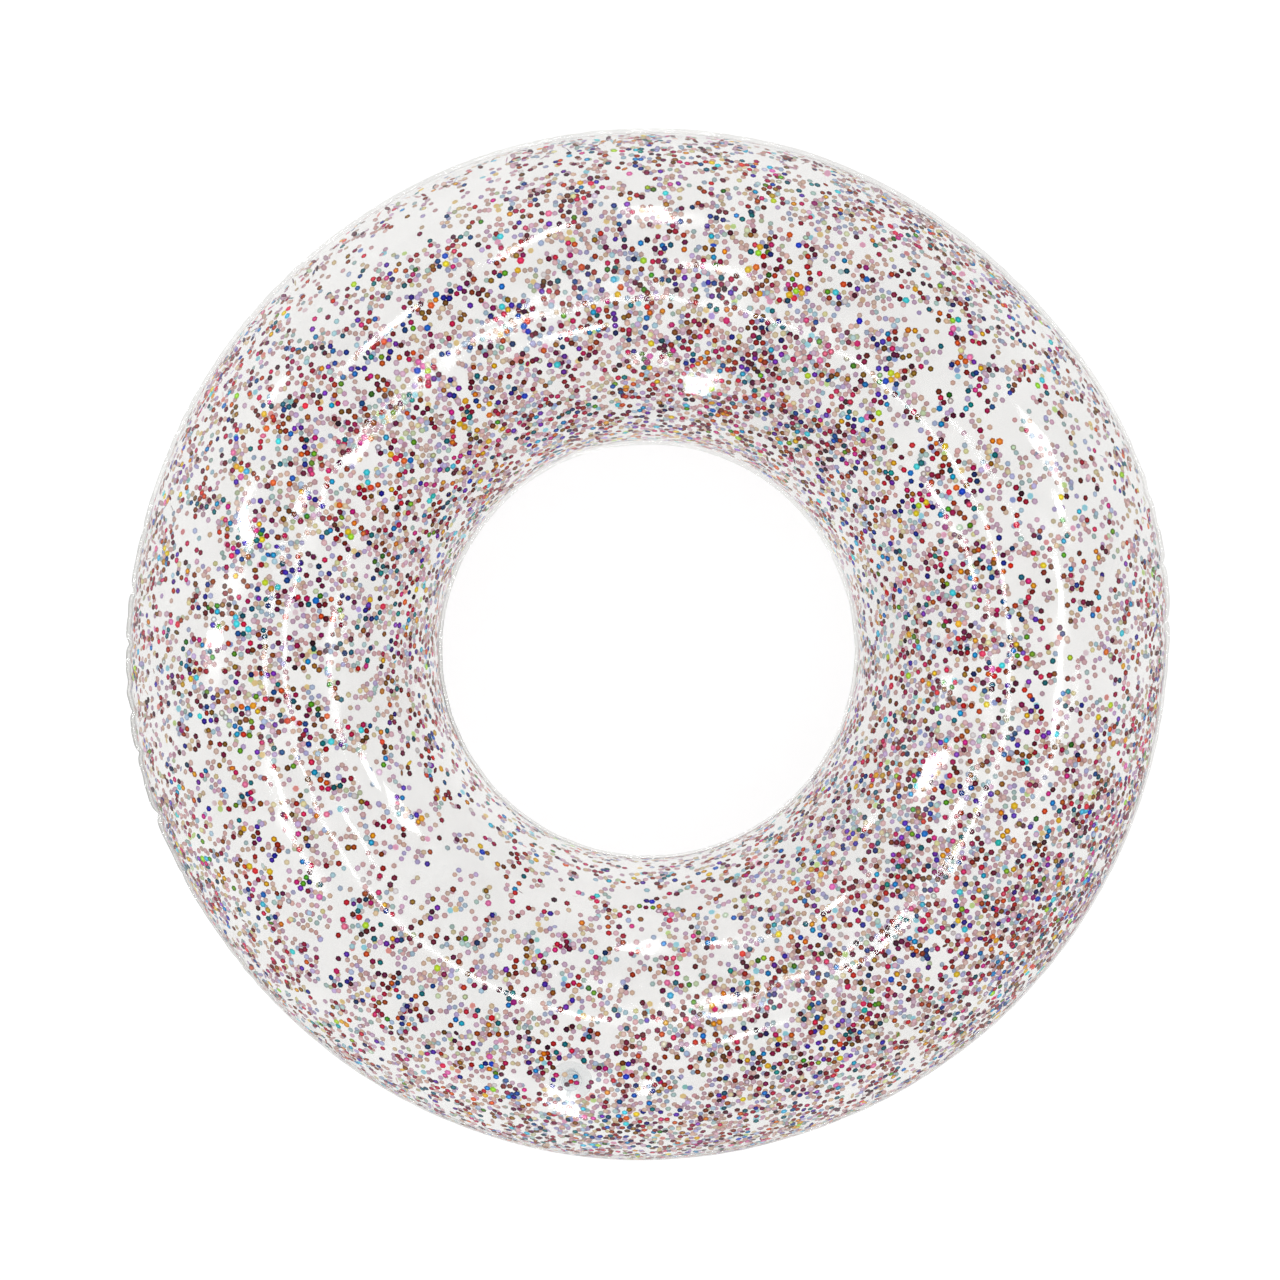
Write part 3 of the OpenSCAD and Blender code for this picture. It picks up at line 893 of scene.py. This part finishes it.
def flake_material(name):
    share, darks, pale = FAMILIES[name]
    darks, pale = [lin(*c) for c in darks], lin(*pale)
    m = Nodes("foil_" + name)
    shade, hue, rim, back = m.attr("shade"), m.attr("hue"), m.attr("rim"), m.attr("back")
    # lacquered side by shade: partly own tone, partly painted light and shade
    front = m.ramp(shade, [(0.0, darks[0]), (0.45, darks[1]), (0.74, darks[1]), (0.92, darks[2])])
    hs = m.nt.nodes.new("ShaderNodeHueSaturation")
    m.put(hs.inputs["Hue"], m.math("ADD", 0.5, m.math("MULTIPLY", m.math("SUBTRACT", hue, 0.5), 0.07 if name != "silver" else 0.9)))
    hs.inputs["Saturation"].default_value = 1.0
    m.put(hs.inputs["Color"], front)
    front = hs.outputs[0]
    # foil's cloudy lacquer, with a painted highlight in the lighter centre and painted shade in the dark rim
    cloud = m.noise(700.0, 3.0, 0.6)
    front = m.mix(m.math("MULTIPLY", cloud, 0.35), front, m.mix(1.0, front, (0.55, 0.50, 0.52, 1), "MULTIPLY"))
    # painted shade: the rim is darkened, less on glinting flakes
    ring = m.math("MULTIPLY", m.math("SUBTRACT", rim, 0.18, clamp=True), 1.6, clamp=True)
    deep = m.mix(1.0, front, (0.46, 0.36, 0.38, 1), "MULTIPLY")
    deep = m.mix(m.math("GREATER_THAN", shade, 0.87), deep, m.mix(1.0, front, (0.80, 0.74, 0.74, 1), "MULTIPLY"))
    front = m.mix(ring, front, deep)
    # painted highlight: the centre is lightened, brightest in a small spot
    lit = m.mix(1.0, m.mix(1.0, front, (1.6, 1.5, 1.5, 1), "MULTIPLY"), (0.030, 0.021, 0.024, 1), "ADD")
    painted_highlight_spot = m.math("MULTIPLY", m.math("SUBTRACT", 0.44, rim, clamp=True), m.math("ADD", 0.9, m.math("MULTIPLY", hue, 1.6)), clamp=True)
    front = m.mix(painted_highlight_spot, front, lit)
    # pale side lighter or darker by shade: partly own tone, partly painted light and shade
    pales = m.mix(shade, (pale[0] * 0.90, pale[1] * 0.90, pale[2] * 0.90, 1), (min(1, pale[0] * 1.16), min(1, pale[1] * 1.16), min(1, pale[2] * 1.16), 1))
    hs2 = m.nt.nodes.new("ShaderNodeHueSaturation")
    m.put(hs2.inputs["Hue"], m.math("ADD", 0.5, m.math("MULTIPLY", m.math("SUBTRACT", hue, 0.5), 0.10)))
    m.put(hs2.inputs["Color"], pales)
    # painted shade: a darker rim on the pale side too
    pales = m.mix(m.math("MULTIPLY", m.math("SUBTRACT", rim, 0.25, clamp=True), 1.4, clamp=True), hs2.outputs[0], m.mix(1.0, hs2.outputs[0], (0.66, 0.59, 0.61, 1), "MULTIPLY"))
    # painted glint: glinting flakes are given a bright colour on both sides
    painted_glint_colour = m.mix(0.34, (*darks[2], 1), (1, 1, 1, 1))
    pales = m.mix(m.math("GREATER_THAN", shade, 0.87), pales, painted_glint_colour)
    base = m.mix(back, front, pales)
    metal = m.math("MULTIPLY", m.math("SUBTRACT", 1.0, back), 0.25)
    rough = m.math("ADD", 0.26, m.math("MULTIPLY", cloud, 0.22))
    p = m.add("ShaderNodeBsdfPrincipled", Base__Color=base, Metallic=metal, Roughness=rough)
    p.inputs["IOR"].default_value = 1.45
    p.inputs["Specular IOR Level"].default_value = 0.07
    m.nt.links.new(p.outputs[0], m.out.inputs[0])
    return m.mat


film_mat = film_material()
valve_mat = valve_material("clear_moulded_vinyl", (0.86, 0.90, 0.91), 0.10)
flap_mat = valve_material("clear_flap_vinyl", (0.87, 0.90, 0.89), 0.10)
for ob in (upper, lower):
    ob.data.materials.clear()
    ob.data.materials.append(film_mat)
for ob in (flange, skirt, stem, plug, tether):
    ob.data.materials.clear()
    ob.data.materials.append(valve_mat)
flap.data.materials.clear()
flap.data.materials.append(flap_mat)
for name, obs in flake_obs.items():
    foil = flake_material(name)
    for ob in obs:
        ob.data.materials.append(foil)

# ---------------------------------------------------------------- bodies
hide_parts("upper_film"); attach(upper, "ring")
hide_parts("lower_film"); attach(lower, "ring")
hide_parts("valve_flange"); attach(flange, "ring")
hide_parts("valve_stem"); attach(stem, "valve_stem")
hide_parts("valve_plug"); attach(plug, "valve_plug")
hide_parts("check_flap"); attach(flap, "check_flap")
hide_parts("valve_skirt")
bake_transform(skirt)
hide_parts("plug_tether")
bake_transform(tether)
for name, obs in flake_obs.items():
    for ob in obs:
        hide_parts("glitter_" + name)
        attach(ob, "ring")

# ---------------------------------------------------------------- stage, light, camera
scene = bpy.context.scene


# studio softboxes and strip lights: azimuth and elevation of each, its width and height as seen from the ring, roll (all
# degrees), strength
LIGHTS = [
    (88.6, 35.5, 14.7, 4.6, -75.6, 1.0), (79.8, 69.2, 3.8, 4.7, 26.1, 0.8), (112.6, 84.0, 8.9, 1.8, 64.3, 0.9),
    (265.0, 86.0, 6.3, 1.6, -51.5, 0.8), (166.2, 47.8, 20.0, 4.3, 72.7, 0.9), (179.6, 77.2, 8.1, 1.4, 64.0, 0.6),
    (343.8, 48.7, 21.3, 1.5, -43.7, 0.35), (210.3, 68.7, 3.8, 3.1, 42.8, 1.0), (15.8, 43.2, 3.6, 5.2, 20.7, 0.8),
    (26.1, 35.4, 13.0, 10.8, -54.4, 0.35), (107.5, 42.6, 16.8, 2.8, 44.5, 0.8), (280.9, 66.6, 2.8, 5.3, -38.0, 0.9),
    (259.6, 19.4, 29.0, 3.4, -85.5, 0.8), (132.7, 51.4, 8.2, 4.4, 13.4, 1.0), (294.0, 80.5, 5.8, 1.6, -56.9, 1.0),
    (147.3, 23.2, 4.7, 5.7, 14.7, 0.8), (3.2, 55.7, 9.1, 3.7, -8.8, 0.7), (347.3, 55.3, 9.8, 3.8, 21.3, 0.8),
    (198.5, 75.6, 1.6, 3.6, -53.4, 0.7), (215.1, 63.4, 4.0, 4.4, -15.1, 1.0), (14.5, 75.4, 1.6, 5.3, -29.0, 0.6),
    (182.2, 40.6, 14.2, 2.4, 86.2, 1.0), (268.8, 37.6, 15.0, 1.6, 89.7, 0.7)]
DIST, RADIANCE = 3.0, 26.0
for i, (az, el, wd, ht, roll, k) in enumerate(LIGHTS):
    light = bpy.data.lights.new("softbox_%02d" % i, "AREA")
    light.shape = "RECTANGLE"
    wd, ht = wd * 0.8, max(1.1, ht * 0.7)
    light.size, light.size_y = 2 * DIST * math.tan(math.radians(wd / 2)), 2 * DIST * math.tan(math.radians(ht / 2))
    light.energy = RADIANCE * k * math.pi * light.size * light.size_y
    ob = bpy.data.objects.new(light.name, light)
    scene.collection.objects.link(ob)
    a, e_, ro = math.radians(az), math.radians(el), math.radians(roll)
    d = Vector((math.cos(a) * math.cos(e_), math.sin(a) * math.cos(e_), math.sin(e_)))
    side_v = Vector((-math.sin(a), math.cos(a), 0))
    up_v = d.cross(side_v)
    x_v = side_v * math.cos(ro) + up_v * math.sin(ro)
    y_v = d.cross(x_v)
    m3 = Matrix((x_v, y_v, d)).transposed()
    ob.matrix_world = Matrix.Translation(d * DIST) @ m3.to_4x4()
    ob.visible_camera = False
    ob.visible_diffuse = False

world = bpy.data.worlds.new("studio")
scene.world = world
world.use_nodes = True
wn = world.node_tree
wn.nodes.clear()
w_out = wn.nodes.new("ShaderNodeOutputWorld")
w_bg = wn.nodes.new("ShaderNodeBackground")
w_co = wn.nodes.new("ShaderNodeTexCoord")
w_sep = wn.nodes.new("ShaderNodeSeparateXYZ")
wn.links.new(w_co.outputs["Generated"], w_sep.inputs[0])
w_ramp = wn.nodes.new("ShaderNodeValToRGB")
w_ramp.color_ramp.elements[0].position = 0.0
w_ramp.color_ramp.elements[0].color = (0.95, 0.95, 0.95, 1)
w_ramp.color_ramp.elements[1].position = 1.0
w_ramp.color_ramp.elements[1].color = (0.05, 0.05, 0.055, 1)
_e = w_ramp.color_ramp.elements.new(0.30); _e.color = (0.50, 0.50, 0.50, 1)
_e = w_ramp.color_ramp.elements.new(0.65); _e.color = (0.14, 0.14, 0.145, 1)
# the side walls: brighter behind the ring's far left, darker to its near right
w_side = wn.nodes.new("ShaderNodeVectorMath"); w_side.operation = "DOT_PRODUCT"
wn.links.new(w_co.outputs["Generated"], w_side.inputs[0]); w_side.inputs[1].default_value = (-0.66, 0.75, 0.0)
w_add = wn.nodes.new("ShaderNodeMath"); w_add.operation = "SUBTRACT"
w_pos = wn.nodes.new("ShaderNodeMath"); w_pos.operation = "MAXIMUM"; w_pos.inputs[1].default_value = 0.0
wn.links.new(w_side.outputs["Value"], w_pos.inputs[0])
w_pow = wn.nodes.new("ShaderNodeMath"); w_pow.operation = "POWER"; w_pow.inputs[1].default_value = 3.0
wn.links.new(w_pos.outputs[0], w_pow.inputs[0])
w_amt = wn.nodes.new("ShaderNodeMath"); w_amt.operation = "MULTIPLY_ADD"; w_amt.inputs[1].default_value = 0.75; w_amt.inputs[2].default_value = -0.12
wn.links.new(w_pow.outputs[0], w_amt.inputs[0])
wn.links.new(w_sep.outputs["Z"], w_add.inputs[0]); wn.links.new(w_amt.outputs[0], w_add.inputs[1])
wn.links.new(w_add.outputs[0], w_ramp.inputs[0])
w_lp = wn.nodes.new("ShaderNodeLightPath")
w_mix = wn.nodes.new("ShaderNodeMix")
w_mix.data_type = "RGBA"
w_mix.inputs[6].default_value = (1, 1, 1, 1)
wn.links.new(w_lp.outputs["Is Glossy Ray"], w_mix.inputs[0])
wn.links.new(w_ramp.outputs[0], w_mix.inputs[7])
wn.links.new(w_mix.outputs[2], w_bg.inputs["Color"])
w_bg.inputs["Strength"].default_value = 1.0
wn.links.new(w_bg.outputs[0], w_out.inputs[0])

fl = bpy.data.meshes.new("floor")
fl.from_pydata([(-30, -30, FLOOR_Z - 0.0004), (30, -30, FLOOR_Z - 0.0004), (30, 30, FLOOR_Z - 0.0004), (-30, 30, FLOOR_Z - 0.0004)], [], [(0, 1, 2, 3)])
floor = bpy.data.objects.new("studio_floor", fl)
scene.collection.objects.link(floor)
fm = Nodes("pale_floor")
f_lp = fm.nt.nodes.new("ShaderNodeLightPath")
f_pos = fm.nt.nodes.new("ShaderNodeNewGeometry").outputs["Position"]
f_len = fm.nt.nodes.new("ShaderNodeVectorMath"); f_len.operation = "LENGTH"
fm.nt.links.new(f_pos, f_len.inputs[0])
f_nrm = fm.nt.nodes.new("ShaderNodeVectorMath"); f_nrm.operation = "NORMALIZE"
fm.nt.links.new(f_pos, f_nrm.inputs[0])
f_dot = fm.nt.nodes.new("ShaderNodeVectorMath"); f_dot.operation = "DOT_PRODUCT"
fm.nt.links.new(f_nrm.outputs[0], f_dot.inputs[0]); f_dot.inputs[1].default_value = (-0.66, 0.75, 0.0)
f_lobe = fm.math("POWER", fm.math("MAXIMUM", f_dot.outputs["Value"], 0.0), 4.0)
f_hole = fm.math("LESS_THAN", f_len.outputs["Value"], 0.24)
f_seen = fm.math("ADD", fm.math("ADD", 0.62, fm.math("MULTIPLY", f_lobe, 0.25)), fm.math("MULTIPLY", f_hole, 0.5), clamp=True)
f_str = fm.math("ADD", fm.math("MULTIPLY", f_lp.outputs["Is Glossy Ray"], f_seen), fm.math("MULTIPLY", fm.math("SUBTRACT", 1.0, f_lp.outputs["Is Glossy Ray"]), 0.80))
f_em = fm.add("ShaderNodeEmission", Strength=f_str)
f_em.inputs["Color"].default_value = (1, 1, 1, 1)
f_df = fm.add("ShaderNodeBsdfDiffuse", Color=(0.30, 0.30, 0.30, 1))
f_add = fm.add("ShaderNodeAddShader")
fm.nt.links.new(f_em.outputs[0], f_add.inputs[0])
fm.nt.links.new(f_df.outputs[0], f_add.inputs[1])
fm.nt.links.new(f_add.outputs[0], fm.out.inputs[0])
fl.materials.append(fm.mat)

cam_data = bpy.data.cameras.new("camera")
cam = bpy.data.objects.new("camera", cam_data)
scene.collection.objects.link(cam)
scene.camera = cam
CAM_D, CAM_TILT = 2.45, math.radians(4.3)
cam_data.sensor_width = 36.0
cam_data.lens = 79.27
cam_data.shift_x, cam_data.shift_y = -0.00633, 0.00867
cam.location = (0.0, CAM_D * math.sin(CAM_TILT), CAM_D * math.cos(CAM_TILT))
cam.rotation_euler = (-CAM_TILT, 0.0, 0.0)
cam_data.clip_start, cam_data.clip_end = 0.05, 100.0

scene.view_settings.view_transform = "Standard"
scene.view_settings.look = "None"
scene.cycles.max_bounces = 10
scene.cycles.diffuse_bounces = 3
scene.cycles.glossy_bounces = 4
scene.cycles.transparent_max_bounces = 40
scene.cycles.sample_clamp_indirect = 6.0
scene.cycles.caustics_reflective = False
scene.cycles.caustics_refractive = False
